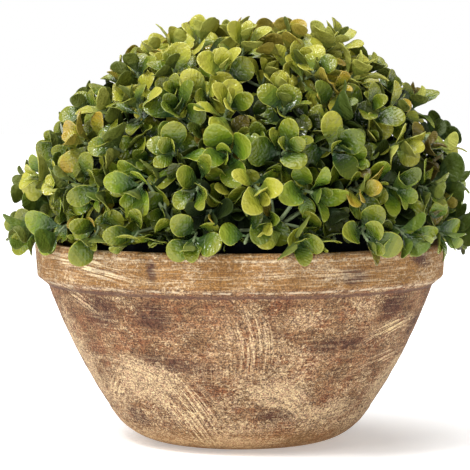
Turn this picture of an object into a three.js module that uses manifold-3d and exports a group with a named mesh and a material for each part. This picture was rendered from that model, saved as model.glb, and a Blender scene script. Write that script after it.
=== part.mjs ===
// Artificial box topiary: a clipped half ball of moulded box sprigs in a round bowl pot.
// Millimetres, +Z up. The origin is the centre of the pot's flat underside.
// The pot is filled with foam. A short stem stands in that foam and carries a foam dome, and each
// sprig's peg is pushed into a socket of the dome. A sprig is one moulding: a peg, a few branches
// and a rosette of leaves in crossed pairs at each branch tip.
import * as THREE from "three";
import { mergeVertices } from "three/addons/utils/BufferGeometryUtils.js";
import Module from "manifold-3d";

const wasm = await Module();
wasm.setup();

// Driving dimensions of the pot
const POT_HEIGHT = 100;
const RIM_RADIUS = 102.5;
const RIM_ROUNDING = 3;
const BAND_HEIGHT = 17.2; // straight part of the band under the rim
const BAND_TAPER = 1.1; // how much narrower the band is at its foot
const STEP_HEIGHT = 4.4; // sloping underside of the band
const STEP_DEPTH = 5.3;
const WALL = 7;
const RIM_LIP = 0.8; // the rim's inner edge is this much lower than its top
const BASE_RADIUS = 36.8;
const FOOT_ROUNDING = 32.5;
const WALL_BULGE = 2.1; // the wall swells outwards by this at half height
const POT_SIDES = 36; // the fill has as many, so that it fits facet to facet

// Driving dimensions of what the leaves are fixed to
const FIT = 0.3; // gap between pieces that touch
const FILL_TOP = 92;
const FILL_SHOULDER = 4; // the fill's worn edge reaches this far down
const DOME_RADIUS = 85;
const DOME_SIDES = 20;
const DOME_ROWS = 5;
const STEM_RADIUS = 5;
const STEM_SUNK = 28; // in the foam fill, and as far up into the dome
const STEM_SIDES = 8;

// Driving dimensions of a sprig's limbs
const CROWN_CENTRE = new THREE.Vector3(3, 0, 101); // the dome sits a little to one side
const PEG_SUNK = 9;
const PEG_RADIUS = 2.6;
const PEG_SLACK = 0.7; // how much wider the socket is, measured at its corners
const FORK_LIFT = 3.5; // the fork above the dome's surface
const FORK_COVER = 1.8; // how far the peg reaches past the fork
const END_LENGTH = 8.5; // straight end of a branch, which carries the rosette
const TIP_OVER_RIM = 5; // the lowest branches pass this far over the rim
const BRANCH_RADIUS = 1.3;
const BRANCH_SPREAD = 9; // degrees from the sprig's own axis
const BRANCHES = 4;
const CROWN_BRANCHES = 5;
const SEED = 11;

// How much one sprig or branch differs from the next: degrees, millimetres or a share
const VARY = {
  place: [-0.12, 0.12],
  rise: [-2.5, 2.5],
  start: [30, 60],
  turn: [-9, 9],
  spread: [-1.2, 1.2],
  lift: [-3, 2.5],
  droop: [0.7, 1.3],
  rosette: [0, 180],
  leafTurn: [-12, 12],
  leafSize: [0.88, 1.1],
};

// Driving dimensions of a leaf, and the room that it keeps
const LEAF_LENGTH = 23;
const LEAF_WIDTH = 16.5;
const LEAF_KEEL = 0.9; // thickness under the midrib
const LEAF_CUP = 0.5; // how far the shoulders rise
const LEAF_CURL = 1.6; // how far the tip bends down
const SHOULDER = 0.62; // the widest place, as a share of the length
const TIP_WIDTH = 0.4; // width of the blunt tip, as a share of the width
const LEAF_ROOM = 1.1; // room kept over and under a leaf
const LEAF_MARGIN = 1.05; // room kept round a leaf's outline, as a share of its size
const LEAF_NECK = 0.4; // share of a leaf, from its root, where it may touch leaves of its own rosette
const SHARED_EDGE = 5; // how far a leaf may reach past half way to the next sprig
const POT_CLEARANCE = 0.8;
const DOME_CLEARANCE = 1.5;
const EDGE_STEPS = 8; // places tested along each edge of a leaf

// One row for each tier of sprigs: its angle above the rim, how many, where the first stands,
// how far its branch tips are above the dome's surface, and how much they droop
const TIERS = [
  { name: "crown", angle: 90, count: 1, turn: 0, tipLift: 11.5, droop: 0 },
  { name: "upper", angle: 61, count: 6, turn: 12, tipLift: 14.5, droop: 0.02 },
  { name: "middle", angle: 33, count: 10, turn: 0, tipLift: 15.5, droop: 0.1 },
  { name: "skirt", angle: 8, count: 12, turn: 9, tipLift: 17, droop: 0.55 },
];

// The sprigs that stand out of the outline, and by how much
const LONG_SPRIGS = {
  sprig_middle_01: 5,
  sprig_skirt_07: 5,
};

// The pairs of leaves of one rosette, from the lowest: place below the tip, lean, size
const LEAF_PAIRS = [
  { below: 6.5, lean: 78, size: 1.0 },
  { below: 3.0, lean: 56, size: 0.92 },
  { below: 0.6, lean: 28, size: 0.64 },
];

// How a leaf gives way, step by step, where it would leave its sprig's space or touch something
const WAYS_TO_GIVE = [
  { turn: 0, closing: 0, size: 1 },
  { turn: 24, closing: 6, size: 0.95 },
  { turn: -24, closing: 6, size: 0.95 },
  { turn: 0, closing: 22, size: 0.85 },
  { turn: 0, closing: 38, size: 0.78 },
];

const COLOURS = {
  pot: { color: 0xb48a62, roughness: 0.85 },
  foam: { color: 0x27361d, roughness: 0.95 },
  stem: { color: 0x8a6a45, roughness: 0.8 },
  crown: { color: 0xa3aa44, roughness: 0.5 },
  upper: { color: 0x95a242, roughness: 0.5 },
  middle: { color: 0x7f963c, roughness: 0.5 },
  skirt: { color: 0x6f8c38, roughness: 0.5 },
};

const UP = new THREE.Vector3(0, 0, 1);
const radians = THREE.MathUtils.degToRad;

// The same numbers every time: one linear congruential stream for each seed
function seededRandom(seed) {
  let state = (seed * 2654435761) >>> 0;
  const next = () => {
    state = (Math.imul(state, 1664525) + 1013904223) >>> 0;
    return state / 4294967296;
  };
  next();
  return next;
}

function between(random, [low, high]) {
  return low + (high - low) * random();
}

// a + b * t, as a new vector
function along(a, b, t) {
  return a.clone().addScaledVector(b, t);
}

// The direction that is turned from a towards b by an angle
function aimed(a, b, angle) {
  return a.clone().multiplyScalar(Math.cos(angle)).addScaledVector(b, Math.sin(angle));
}

function solidFrom(geometry) {
  const bare = geometry.clone();
  bare.deleteAttribute("normal");
  bare.deleteAttribute("uv");
  const merged = mergeVertices(bare, 1e-4);
  return new wasm.Manifold(
    new wasm.Mesh({
      numProp: 3,
      vertProperties: new Float32Array(merged.attributes.position.array),
      triVerts: new Uint32Array(merged.index.array),
    }),
  );
}

function geometryFrom(solid) {
  const mesh = solid.getMesh();
  const geometry = new THREE.BufferGeometry();
  geometry.setAttribute("position", new THREE.BufferAttribute(mesh.vertProperties, 3));
  geometry.setIndex(new THREE.BufferAttribute(mesh.triVerts, 1));
  geometry.computeVertexNormals();
  return geometry;
}

// A closed solid from points and faces, each face listed anticlockwise seen from outside
function polyhedron(points, faces) {
  const geometry = new THREE.BufferGeometry();
  const flat = points.flatMap((p) => [p.x, p.y, p.z]);
  geometry.setAttribute("position", new THREE.BufferAttribute(new Float32Array(flat), 3));
  geometry.setIndex(faces.flat());
  return solidFrom(geometry);
}

// A lathe turned about an upright axis from a profile of [radius, height], listed from the bottom up
function turned(profile, sides, axisX = 0) {
  const points = profile.map(([radius, height]) => new THREE.Vector2(radius, height));
  const geometry = new THREE.LatheGeometry(points, sides);
  geometry.rotateX(Math.PI / 2);
  geometry.translate(axisX, 0, 0);
  return solidFrom(geometry);
}

function prism(radius, low, high, sides) {
  return turned([[0, low], [radius, low], [radius, high], [0, high]], sides);
}

function arc(centreX, centreZ, radius, fromAngle, toAngle, steps) {
  return Array.from({ length: steps + 1 }, (_, i) => {
    const angle = fromAngle + ((toAngle - fromAngle) * i) / steps;
    return [centreX + radius * Math.cos(angle), centreZ + radius * Math.sin(angle)];
  });
}

// The bowl's outer wall from its foot to the underside of the band, moved inwards by inset
function bowlWall(inset, floor, footSteps, wallSteps) {
  const rounding = FOOT_ROUNDING - inset;
  const centre = { x: BASE_RADIUS, z: FOOT_ROUNDING };
  const top = {
    x: RIM_RADIUS - BAND_TAPER - STEP_DEPTH - inset,
    z: POT_HEIGHT - BAND_HEIGHT - STEP_HEIGHT,
  };
  const reach = Math.hypot(top.x - centre.x, top.z - centre.z);
  const tangent = Math.atan2(top.z - centre.z, top.x - centre.x) - Math.acos(rounding / reach);
  const foot = arc(centre.x, centre.z, rounding, -Math.PI / 2, tangent, footSteps)
    .map(([x, z]) => [x, Math.max(z, floor)]);
  const [footX, footZ] = foot[foot.length - 1];
  const wall = Array.from({ length: wallSteps }, (_, i) => {
    const t = (i + 1) / wallSteps;
    const swell = 4 * WALL_BULGE * t * (1 - t);
    return [
      footX + (top.x - footX) * t + swell * Math.cos(tangent),
      footZ + (top.z - footZ) * t + swell * Math.sin(tangent),
    ];
  });
  return [...foot, ...wall];
}

function innerWall(inset) {
  return bowlWall(WALL + inset, WALL + inset, 2, 2);
}

function makePot() {
  const rimInner = RIM_RADIUS - BAND_TAPER - WALL;
  const bandFoot = POT_HEIGHT - BAND_HEIGHT;
  const outside = [
    [0, 0],
    ...bowlWall(0, 0, 5, 4),
    [RIM_RADIUS - BAND_TAPER, bandFoot],
    ...arc(RIM_RADIUS - RIM_ROUNDING, POT_HEIGHT - RIM_ROUNDING, RIM_ROUNDING, 0, Math.PI / 2, 2),
  ];
  const inside = [[rimInner, POT_HEIGHT - RIM_LIP], ...innerWall(0).reverse(), [0, WALL]];
  return turned([...outside, ...inside], POT_SIDES);
}

function makeFoamFill() {
  const side = innerWall(FIT).filter(([, z]) => z < FILL_TOP - FILL_SHOULDER);
  const [topX] = side[side.length - 1];
  const shoulder = [[topX, FILL_TOP - FILL_SHOULDER], [topX - FILL_SHOULDER, FILL_TOP]];
  const profile = [[0, WALL + FIT], ...side, ...shoulder, [0, FILL_TOP]];
  const socket = prism(STEM_RADIUS + FIT, FILL_TOP - STEM_SUNK - FIT, FILL_TOP + FIT, STEM_SIDES);
  return turned(profile, POT_SIDES).subtract(socket);
}

function makeStem() {
  return prism(STEM_RADIUS, FILL_TOP - STEM_SUNK, FILL_TOP + STEM_SUNK, STEM_SIDES);
}

// The foam dome, with a socket for the stem and one for each peg
function makeFoamDome(sprigs) {
  const low = FILL_TOP + FIT;
  const start = Math.asin((low - CROWN_CENTRE.z) / DOME_RADIUS);
  const shell = arc(0, CROWN_CENTRE.z, DOME_RADIUS, start, Math.PI / 2, DOME_ROWS);
  shell[DOME_ROWS][0] = 0;
  const dome = turned([[0, low], ...shell], DOME_SIDES, CROWN_CENTRE.x);
  const stemSocket = prism(STEM_RADIUS + FIT, low - FIT, FILL_TOP + STEM_SUNK + FIT, STEM_SIDES);
  return sprigs.reduce((foam, sprig) => {
    const bottom = along(CROWN_CENTRE, sprig.axis, DOME_RADIUS - PEG_SUNK - FIT);
    const mouth = along(CROWN_CENTRE, sprig.axis, DOME_RADIUS + PEG_RADIUS);
    const width = PEG_RADIUS + PEG_SLACK;
    return foam.subtract(limb([bottom, mouth], [width, width]));
  }, dome.subtract(stemSocket));
}

// Two directions square to an axis: level, and up the dome
function levelAndUp(axis) {
  const level = UP.clone().cross(axis);
  if (level.lengthSq() < 1e-4) level.set(1, 0, 0);
  level.normalize();
  return [level, axis.clone().cross(level)];
}

// A three-sided limb through points, with a radius at each
function limb(points, radii) {
  const first = points[1].clone().sub(points[0]).normalize();
  const [side] = levelAndUp(first);
  const corners = points.flatMap((point, i) => {
    const before = points[Math.max(i - 1, 0)];
    const after = points[Math.min(i + 1, points.length - 1)];
    const way = after.clone().sub(before).normalize();
    const across = side.clone().addScaledVector(way, -side.dot(way)).normalize();
    const other = way.clone().cross(across);
    return [0, 1, 2].map((k) => {
      const angle = (k * 2 * Math.PI) / 3;
      return along(along(point, across, radii[i] * Math.cos(angle)), other, radii[i] * Math.sin(angle));
    });
  });
  const faces = [[0, 2, 1]];
  for (let i = 0; i < points.length - 1; i++) {
    for (let k = 0; k < 3; k++) {
      const a = 3 * i + k;
      const b = 3 * i + ((k + 1) % 3);
      faces.push([a, b, b + 3], [a, b + 3, a + 3]);
    }
  }
  const last = 3 * (points.length - 1);
  faces.push([last, last + 1, last + 2]);
  return polyhedron(corners, faces);
}

// The six corners of a spoon-shaped leaf: narrow root, two shoulders, two tip corners and a keel
function leafCorners(root, way, face, size) {
  const across = way.clone().cross(face).normalize();
  const at = (t, sideways, lift) => {
    const onRib = along(along(root, way, t * LEAF_LENGTH * size), face, lift);
    return along(onRib, across, sideways * LEAF_WIDTH * size);
  };
  return [
    at(0, 0, 0),
    at(SHOULDER, 0.5, LEAF_CUP),
    at(1, TIP_WIDTH / 2, -LEAF_CURL),
    at(1, -TIP_WIDTH / 2, -LEAF_CURL),
    at(SHOULDER, -0.5, LEAF_CUP),
    at(SHOULDER, 0, -LEAF_KEEL),
  ];
}

const LEAF_FACES = [
  [0, 1, 4], [1, 2, 3], [1, 3, 4],
  [5, 1, 0], [5, 2, 1], [5, 3, 2], [5, 4, 3], [5, 0, 4],
];

// The room a leaf needs: its outline grown a little, between a point over it and one under it
function leafRoom(corners, face, neck) {
  const keel = corners[5];
  const outline = corners.slice(0, 5).map((corner) => keel.clone().lerp(corner, LEAF_MARGIN));
  outline[0].lerp(keel, neck);
  const over = along(keel, face, LEAF_KEEL + LEAF_ROOM);
  const under = along(keel, face, -LEAF_ROOM);
  const faces = outline.flatMap((_, i) => {
    const next = (i + 1) % outline.length;
    return [[5, i, next], [6, next, i]];
  });
  return polyhedron([...outline, over, under], faces);
}

// A place that a sprig may use: near enough to its own axis, and clear of the dome and of the pot
function staysInSpace(point, sprig, sprigs) {
  const out = point.clone().sub(CROWN_CENTRE);
  if (out.length() < DOME_RADIUS + DOME_CLEARANCE) return false;
  for (const other of sprigs) {
    if (other === sprig) continue;
    const apart = sprig.axis.clone().sub(other.axis);
    if (out.dot(apart) < -SHARED_EDGE * apart.length()) return false;
  }
  const radius = Math.hypot(point.x, point.y);
  return point.z > POT_HEIGHT + POT_CLEARANCE || radius > RIM_RADIUS + POT_CLEARANCE;
}

function leafStaysInSpace(corners, sprig, sprigs) {
  const keel = corners[5];
  const outline = corners.slice(0, 5);
  return outline.every((corner, i) => {
    const next = outline[(i + 1) % outline.length];
    return Array.from({ length: EDGE_STEPS }, (_, k) => k / EDGE_STEPS).every((t) => {
      const edge = corner.clone().lerp(next, t);
      return [0, 0.5, 1].every((inward) => staysInSpace(edge.clone().lerp(keel, inward), sprig, sprigs));
    });
  });
}

// Where every sprig stands: tiers of sprigs spaced evenly, each turned a little by its own seed
function sprigPlaces() {
  const sprigs = [];
  TIERS.forEach((tier, row) => {
    for (let i = 0; i < tier.count; i++) {
      const random = seededRandom(SEED + 100 * row + i);
      const turn = radians(tier.turn + ((i + between(random, VARY.place)) * 360) / tier.count);
      const rise = radians(tier.count > 1 ? tier.angle + between(random, VARY.rise) : tier.angle);
      const axis = new THREE.Vector3(
        Math.cos(rise) * Math.cos(turn),
        Math.cos(rise) * Math.sin(turn),
        Math.sin(rise),
      );
      const name = `sprig_${tier.name}_${String(i + 1).padStart(2, "0")}`;
      sprigs.push({ name, tier, axis, random });
    }
  });
  return sprigs;
}

// The branches of a sprig: each leaves the fork and ends in a straight piece that holds a rosette
function branchesOf(sprig) {
  const { axis, tier, random } = sprig;
  const [level, up] = levelAndUp(axis);
  const count = tier.count > 1 ? BRANCHES : CROWN_BRANCHES;
  const fork = along(CROWN_CENTRE, axis, DOME_RADIUS + FORK_LIFT);
  const start = between(random, VARY.start);
  return Array.from({ length: count }, (_, k) => {
    const turn = radians(start + (k * 360) / count + between(random, VARY.turn));
    const spread = Math.tan(radians(BRANCH_SPREAD + between(random, VARY.spread)));
    const out = along(axis, aimed(level, up, turn), spread).normalize();
    const lift = tier.tipLift + between(random, VARY.lift) + (LONG_SPRIGS[sprig.name] ?? 0);
    const tip = along(CROWN_CENTRE, out, DOME_RADIUS + lift);
    tip.z = Math.max(tip.z, POT_HEIGHT + TIP_OVER_RIM);
    const way = along(out, UP, -tier.droop * between(random, VARY.droop)).normalize();
    const elbow = along(tip, way, -END_LENGTH);
    return { fork, elbow, tip, way, turn: between(random, VARY.rosette) };
  });
}

// What is already in the crown: limbs and leaves, each with the branch that it belongs to
const taken = [];

function takeRoom(whole, outer, branch) {
  const { min, max } = whole.boundingBox();
  taken.push({ whole, outer, branch, min, max });
}

// Whether a leaf is clear of everything else, and its outer part of its own rosette too
function isFree(whole, outer, branch) {
  const { min, max } = whole.boundingBox();
  return taken.every((other) => {
    if ([0, 1, 2].some((k) => min[k] > other.max[k] || max[k] < other.min[k])) return true;
    if (other.branch !== branch) return whole.intersect(other.whole).isEmpty();
    return other.outer === null || outer.intersect(other.outer).isEmpty();
  });
}

// One leaf of a rosette, leaning away from the branch, or nothing where it finds no room
function fittedLeaf(branch, pair, turn, size, sprig, sprigs) {
  const [level, up] = levelAndUp(branch.way);
  const root = along(branch.tip, branch.way, -pair.below);
  for (const give of WAYS_TO_GIVE) {
    const aside = aimed(level, up, radians(turn + give.turn));
    const lean = radians(pair.lean - give.closing);
    const way = aimed(branch.way, aside, lean);
    const face = aimed(aside, branch.way, Math.PI - lean);
    const corners = leafCorners(root, way, face, size * give.size);
    if (!leafStaysInSpace(corners, sprig, sprigs)) continue;
    const whole = leafRoom(corners, face, 0);
    const outer = leafRoom(corners, face, LEAF_NECK);
    if (!isFree(whole, outer, branch)) continue;
    takeRoom(whole, outer, branch);
    return polyhedron(corners, LEAF_FACES);
  }
  return null;
}

// The leaves of one rosette, in crossed pairs
function rosetteLeaves(branch, sprig, sprigs) {
  return LEAF_PAIRS.flatMap((pair, j) => [0, 180].map((half) => {
    const turn = branch.turn + half + 90 * j + between(sprig.random, VARY.leafTurn);
    const size = pair.size * between(sprig.random, VARY.leafSize);
    return fittedLeaf(branch, pair, turn, size, sprig, sprigs);
  })).filter((leaf) => leaf !== null);
}

// One body with no sealed hollow and no loose scrap: its largest shell
function wholeBody(solid) {
  return solid.decompose().reduce((best, body) => (body.volume() > best.volume() ? body : best));
}

// The peg and branches of every sprig, which take their room before any leaf is placed
function growLimbs(sprig) {
  const pegFoot = along(CROWN_CENTRE, sprig.axis, DOME_RADIUS - PEG_SUNK);
  const pegTop = along(CROWN_CENTRE, sprig.axis, DOME_RADIUS + FORK_LIFT + FORK_COVER);
  const peg = limb([pegFoot, pegTop], [PEG_RADIUS, PEG_RADIUS]);
  takeRoom(peg, null, null);
  sprig.branches = branchesOf(sprig);
  const branches = sprig.branches.map((branch) => {
    const solid = limb([branch.fork, branch.elbow, branch.tip], Array(3).fill(BRANCH_RADIUS));
    takeRoom(solid, null, branch);
    return solid;
  });
  sprig.limbs = [peg, ...branches];
}

function makeSprig(sprig, sprigs) {
  const leaves = sprig.branches.flatMap((branch) => rosetteLeaves(branch, sprig, sprigs));
  return wholeBody([...sprig.limbs, ...leaves].reduce((whole, part) => whole.add(part)));
}

function piece(name, solid, look) {
  const mesh = new THREE.Mesh(geometryFrom(solid), new THREE.MeshStandardMaterial(look));
  mesh.name = name;
  return mesh;
}

const topiary = new THREE.Group();
topiary.name = "box_topiary_half_ball";
const sprigs = sprigPlaces();
sprigs.forEach(growLimbs);
topiary.add(piece("pot", makePot(), COLOURS.pot));
topiary.add(piece("foam_fill", makeFoamFill(), COLOURS.foam));
topiary.add(piece("stem", makeStem(), COLOURS.stem));
topiary.add(piece("foam_dome", makeFoamDome(sprigs), COLOURS.foam));
for (const sprig of sprigs) {
  topiary.add(piece(sprig.name, makeSprig(sprig, sprigs), COLOURS[sprig.tier.name]));
}

export default topiary;
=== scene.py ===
"""Artificial box topiary: a half ball of moulded box leaves in an aged clay bowl pot."""
from functools import partial, reduce
from math import acos, asin, atan2, ceil, cos, degrees, hypot, pi, radians, sin, sqrt, tan

import bpy
import numpy as np
from bpy.props import FloatProperty, FloatVectorProperty, IntProperty, PointerProperty
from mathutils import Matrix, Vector, noise


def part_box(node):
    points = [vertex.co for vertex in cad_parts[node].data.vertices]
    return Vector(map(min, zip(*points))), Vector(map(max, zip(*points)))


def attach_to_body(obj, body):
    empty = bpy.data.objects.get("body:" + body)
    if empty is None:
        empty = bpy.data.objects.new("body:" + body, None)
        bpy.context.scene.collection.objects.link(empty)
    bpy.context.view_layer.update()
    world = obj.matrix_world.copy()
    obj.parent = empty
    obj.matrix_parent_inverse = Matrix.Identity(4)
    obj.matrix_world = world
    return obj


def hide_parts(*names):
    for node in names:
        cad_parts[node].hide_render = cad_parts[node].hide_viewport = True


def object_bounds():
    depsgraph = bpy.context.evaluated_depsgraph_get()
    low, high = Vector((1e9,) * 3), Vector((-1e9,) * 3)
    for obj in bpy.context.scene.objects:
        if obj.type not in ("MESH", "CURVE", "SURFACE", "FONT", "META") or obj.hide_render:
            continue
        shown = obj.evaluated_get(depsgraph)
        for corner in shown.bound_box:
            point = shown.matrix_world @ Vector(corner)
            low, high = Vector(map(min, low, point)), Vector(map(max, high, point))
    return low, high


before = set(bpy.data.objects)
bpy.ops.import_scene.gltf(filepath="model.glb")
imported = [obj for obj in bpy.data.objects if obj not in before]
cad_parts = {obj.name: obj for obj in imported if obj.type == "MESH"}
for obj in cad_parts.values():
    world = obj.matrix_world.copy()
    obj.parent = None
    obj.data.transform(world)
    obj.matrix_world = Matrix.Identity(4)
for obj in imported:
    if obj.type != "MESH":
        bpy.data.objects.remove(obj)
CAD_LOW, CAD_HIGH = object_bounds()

bl_info = {
    "name": "Box Topiary Half Ball",
    "version": (1, 0, 0),
    "blender": (4, 5, 0),
    "location": "3D View > Sidebar > Topiary",
    "description": "Builds the looks of a potted artificial box half ball round its packed solids",
    "category": "Object",
}

MM = 0.001
UP = Vector((0, 0, 1))
POT_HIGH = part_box("pot")[1]
DOME_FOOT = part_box("foam_dome")[0].z

# The source's driving dimensions, here in metres
RIM_ROUNDING = 3 * MM
BAND_HEIGHT = 17.2 * MM
BAND_TAPER = 1.1 * MM
STEP_HEIGHT = 4.4 * MM
STEP_DEPTH = 5.3 * MM
RIM_LIP = 0.8 * MM
BASE_RADIUS = 36.8 * MM
FOOT_ROUNDING = 32.5 * MM
WALL_BULGE = 2.1 * MM
FIT = 0.3 * MM
FILL_TOP = 92 * MM
FILL_SHOULDER = 4 * MM
DOME_RADIUS = 85 * MM
CROWN_CENTRE = Vector((3 * MM, 0, 101 * MM))
PEG_SUNK = 9 * MM
PEG_RADIUS = 2.3 * MM
FORK_LIFT = 3.5 * MM
FORK_COVER = 1.8 * MM
END_LENGTH = 8.5 * MM
TIP_OVER_RIM = 5 * MM
BRANCH_SPREAD = 9
BRANCHES = 4
CROWN_BRANCHES = 5
SEED = 11
POT_CLEARANCE = 0.8 * MM
DOME_CLEARANCE = 1.5 * MM

# How much one sprig or branch differs from the next, as in the source: degrees, metres or a share
VARY = {
    "place": (-0.12, 0.12),
    "rise": (-2.5, 2.5),
    "start": (30, 60),
    "turn": (-9, 9),
    "spread": (-1.2, 1.2),
    "lift": (-3 * MM, 2.5 * MM),
    "droop": (0.7, 1.3),
    "rosette": (0, 180),
}

# Each tier of sprigs: angle above the rim, how many, where the first stands, how far the branch
# tips are above the dome, how many times the twig's "runs on" they pass that, how much they droop,
# the share of side twigs and of inner twigs in the shade, whose dark tones are painted shade, and
# the chance of each leaf tone. The crown and upper tiers take mostly the bright tone, painted light
# from above
TIER_KEYS = ("name", "angle", "count", "turn", "lift", "past", "droop", "shaded", "tones")
TIERS = [dict(zip(TIER_KEYS, row)) for row in (
    ("crown", 90, 1, 0, 11.5 * MM, 1, 0.0, (0.0, 0.0), {"fresh": 1, "bright": 9, "amber": 2}),
    ("upper", 61, 6, 12, 14.5 * MM, 2.1, 0.02, (0.0, 0.2), {"fresh": 2, "bright": 8, "amber": 2}),
    ("middle", 33, 10, 0, 15.5 * MM, 1, 0.1, (0.28, 0.9),
     {"fresh": 12, "spring": 3, "bright": 4, "mid": 7, "amber": 1, "olive": 1, "deep": 2}),
    ("skirt", 8, 12, 9, 17 * MM, 1, 0.75, (0.22, 0.85),
     {"fresh": 9, "spring": 8, "bright": 3, "mid": 6, "amber": 1, "olive": 1, "deep": 2}),
)]
LONG_SPRIGS = {"sprig_middle_01": 5 * MM, "sprig_skirt_07": 5 * MM}
# Here the long sprigs also droop less, and one sprig is held back, as in the photo
LONG_DROOP = 0.25
HELD_BACK = {"sprig_upper_04": 5.5 * MM}

# The finer growth that this script adds: the source's rule once more, from each branch. A side twig
# reaches nearly as far as the branch, and an inner twig a little way over the dome
FINE_SEED = 5000
SIDE_TURN = (60, 120)
SIDE_TWIG = {"from": 0.2, "spread": (6.0, 8.5), "reach": (-12 * MM, -5 * MM), "droop": (0.0, 0.25)}
INNER_TWIG = {"from": 0.1, "spread": (3.0, 9.0), "reach": (6.5 * MM, 10.5 * MM)}
STRAY = (-0.34, 0.34)
BRANCH_LEAN = 0.15
FINE_LEAN = 0.35
FINE_THICKNESS = 0.8
TAPER = 0.6
BEND_STEPS = 5
SPREAD_ROUNDS = 24
# How far apart the tips of two branches, of a branch and a finer twig, and of two finer twigs stand
TIP_GAPS = ((23 * MM, 13 * MM), (13 * MM, 15 * MM))
TIP_WEIGHTS = (0.1, 1.0)

# The pairs of leaves of one rosette, from the lowest: place below the tip, lean, size
LEAF_PAIRS = [
    (9.5 * MM, 75, 0.95),
    (6.2 * MM, 59, 1.06),
    (3.2 * MM, 42, 0.96),
    (1.0 * MM, 24, 0.7),
]
# How much one leaf differs from the next, in the order in which the numbers are drawn
LEAF_VARY = {
    "turn": (-14, 14),
    "lean": (-18, 14),
    "size": (0.8, 1.12),
    "width": (0.64, 1.0),
    "wedge": (0.85, 1.4),
    "roll": (-52, 52),
    "cup": (-0.2, 1.9),
    "curl": (-0.3, 2.4),
    "twist": (-0.5, 0.5),
    "wave": (0.0, 1.0),
    "phase": (0, 2 * pi),
}
# How a leaf gives way, step by step, where it would leave its space or cut another leaf: how far it
# turns and closes, in degrees, and its size
WAYS_TO_GIVE = [
    (0, 0, 1.0), (14, 0, 1.0), (-14, 0, 1.0), (0, 14, 0.97), (26, 8, 0.95), (-26, 8, 0.95),
    (0, -12, 0.92), (0, 28, 0.86), (40, 16, 0.84), (-40, 16, 0.84), (0, 42, 0.78),
]
# The share of a blade's length at its middle, and the share of its width that nothing may cut
BLADE_MIDDLE = 0.64
BLADE_KEEP = 0.8
# Leaves hang over the rim in tufts, and just above it only the tufts have leaves
TUFTS = 14
TUFT_START = radians(12)
TUFT_EDGE = -0.4
BARE_HEIGHT = 3 * MM
FINE_SIZE = 0.92
ODD_LEAF_CHANCE = 0.22
# The dark tones that leaves in the shade take: painted shade
SHADE_TONES = {"shade": 5, "deep": 4, "mid": 1}
# The sprays that point this way, to the left as the camera sees it, are a tone paler: painted light on the
# side that the key light comes from
LIT_SIDE_WAY = Vector((-0.87, -0.44, 0.2)).normalized()
LIT_SIDE_NEARNESS = 0.74
PALER = {"shade": "mid", "deep": "fresh", "mid": "fresh", "olive": "amber"}

# A leaf's outline and its mesh: rows along it, columns across it
PETIOLE_SHARE = 0.12
PETIOLE_WIDTH = 0.085
WIDEST = 0.6
SWELL_POWER = 1.3
TIP_POWER = 2.2
TIP_WIDTH = 0.1
CURL_START = 0.45
LEAF_ROWS = [0, 0.09, 0.19, 0.29, 0.39, 0.49, 0.59, 0.69, 0.79, 0.88, 0.95, 0.985, 1]
LEAF_COLUMNS = [-1, -0.93, -0.5, 0, 0.5, 0.93, 1]
# The depth of the groove over the midrib, its width, and how far a blade arches and waves
GROOVE = 0.12 * MM
GROOVE_WIDTH = 0.7 * MM
ARCH = 0.5 * MM
WAVE = 0.45 * MM
# The side veins: how far apart they are, how they slant, and their height against the crinkles
VEIN_GAP_MM = 2.1
VEIN_SLANT = -0.8
VEIN_SHARE = 0.028
# Which colour each band of rows takes, from the root
ROW_ZONES = ["petiole", "petiole", "base", "base", "base_edge", "lower", "middle", "upper", "outer",
             "outer", "tip", "tip"]
PETIOLE_ROWS = 2
BACK_BASE_ROWS = 5
RIM_START = 4

# Leaf tones: the colour at the petiole, at the base, in the middle, at the tip, of the rim, and beneath
LEAF_TONES = {
    "fresh": ("546A40", "2C401B", "576818", "838529", "969A3A", "616A28"),
    "spring": ("566E42", "2F481C", "5D741A", "868F2B", "9A9F3C", "56681E"),
    # The bright tone, dealt mostly to the crown and upper tiers, is painted light from above, pale even
    # beneath
    "bright": ("728250", "6C7C30", "9C9E33", "A9A43E", "B4B458", "A6A84E"),
    "mid": ("4E6242", "223919", "475A17", "68731F", "7C8638", "425119"),
    "amber": ("727648", "6C742A", "98922C", "AC8E34", "B2A44C", "988A36"),
    "olive": ("565E3A", "303818", "58521C", "746620", "807C34", "5C501C"),
    "shade": ("263826", "0B1607", "141E07", "242F0A", "2C3A12", "111906"),
    "deep": ("3A5030", "162A0E", "303E12", "484F18", "5A6224", "2A3612"),
}
# Each zone of a leaf takes one of these six colours, blended by a share into another
ZONES = {
    "petiole": (0, 0, 0),
    # The base is dark partly in the leaf's own colour and partly as painted shade near the stem
    "base": (1, 1, 0),
    "base_edge": (1, 2, 0.3),
    "lower": (1, 2, 0.65),
    "middle": (2, 2, 0),
    "upper": (2, 3, 0.35),
    "outer": (2, 3, 0.7),
    "tip": (3, 3, 0),
    # The rim: a paler line along the edge, a painted highlight
    "rim": (3, 4, 0.6),
    "under_base": (1, 5, 0.35),
    "under": (5, 5, 0),
}
ZONE_NUMBERS = {zone: number for number, zone in enumerate(ZONES)}

# Where the pot's finish has its marks, in mm on the unrolled wall: round from the front, and up
WALL_RADIUS_MM = 80
BAND_FOOT_MM = 82.8
# Height of the dark line in the corner under the band: painted shade
CORNER_SHADE_MM = 79.0
BRISTLE_RUN_MM = 26
# Height, reach and strength of the cream lines along the rim's top and the band's lower edge: painted
# highlights
EDGE_HIGHLIGHTS = [(96.2, 0.8, 0.5), (81.4, 0.8, 0.55)]
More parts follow.
